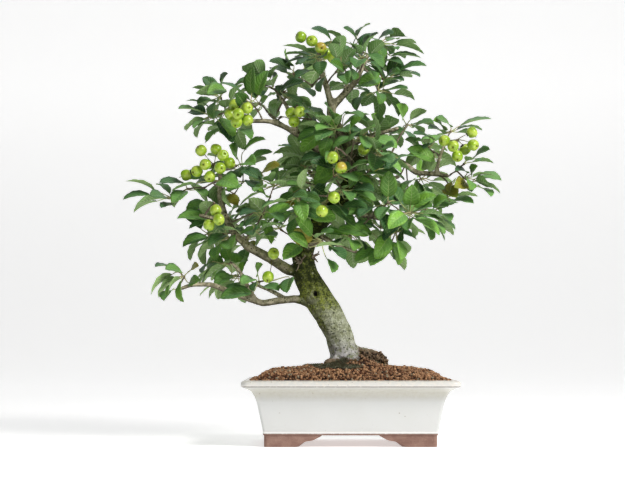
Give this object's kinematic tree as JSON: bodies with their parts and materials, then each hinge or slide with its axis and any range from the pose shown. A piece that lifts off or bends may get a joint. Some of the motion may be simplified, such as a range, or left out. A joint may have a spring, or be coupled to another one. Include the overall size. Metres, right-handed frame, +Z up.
{
  "type": "apple bonsai",
  "caption": "Small apple tree trained as an informal upright bonsai, with a curved mossy trunk, leafy sprays and bunches of small green apples, in a footed rectangular pot.",
  "frame": {"origin": "middle of the whole tree's box at the height of the surface that the pot's feet stand on", "axes": "+Z up the tree, +X to the right and +Y to the back as seen from the front of the pot, along its long side"},
  "size_m": [0.6588, 0.3778, 0.7401],
  "materials": {
    "glaze": "glossy creamy off-white glaze with dark specks on the rim and beige shade in the cove, on bare pinkish-brown clay feet",
    "netting": "dull black plastic netting",
    "granules": "reddish-brown fired-clay granules with patches of green moss and blackish damp crust",
    "bark": "rough grey bark with olive and yellow-green moss",
    "leaf": "serrate apple leaves, satin mid green above, matt pale green below, with pale veins",
    "fruit": "smooth waxy yellow-green skin with pale dots, some with a red or orange blush"
  },
  "bodies": {
    "root": {"pot": "glaze", "drain_mesh_left": "netting", "drain_mesh_right": "netting", "soil": "granules", "wood": "bark", "fruit_centre": "fruit", "fruit_centre_low": "fruit", "fruit_centre_right": "fruit", "fruit_crown": "fruit", "fruit_left": "fruit", "fruit_left_low": "fruit", "fruit_low_left_inner": "fruit", "fruit_right": "fruit", "fruit_upleft": "fruit", "fruit_upleft_inner": "fruit", "centre_back": "leaf", "centre_front": "leaf", "centre_front_left": "leaf", "centre_left": "leaf", "centre_right": "leaf", "centre_top": "leaf", "centre_top_left": "leaf", "crown_back": "leaf", "crown_far_left": "leaf", "crown_front": "leaf", "crown_left": "leaf", "crown_mid": "leaf", "crown_right": "leaf", "crown_top": "leaf", "crown_top_right": "leaf", "left_back_spray": "leaf", "left_fruit_side": "leaf", "left_low_mid": "leaf", "left_mid": "leaf", "left_shoot": "leaf", "left_up_right": "leaf", "low_front": "leaf", "low_left_back_spray": "leaf", "low_left_inner": "leaf", "low_left_mid": "leaf", "low_left_tip": "leaf", "low_right": "leaf", "right_back": "leaf", "right_front": "leaf", "right_hang": "leaf", "right_low_tip": "leaf", "right_mid": "leaf", "right_tip": "leaf", "right_under": "leaf", "rightup_far": "leaf", "rightup_inner": "leaf", "rightup_mid": "leaf", "rightup_tip": "leaf", "upleft_back": "leaf", "upleft_front": "leaf", "upleft_high": "leaf", "upleft_inner": "leaf", "upleft_tip": "leaf", "upleft_top": "leaf"}
  },
  "joints": []
}
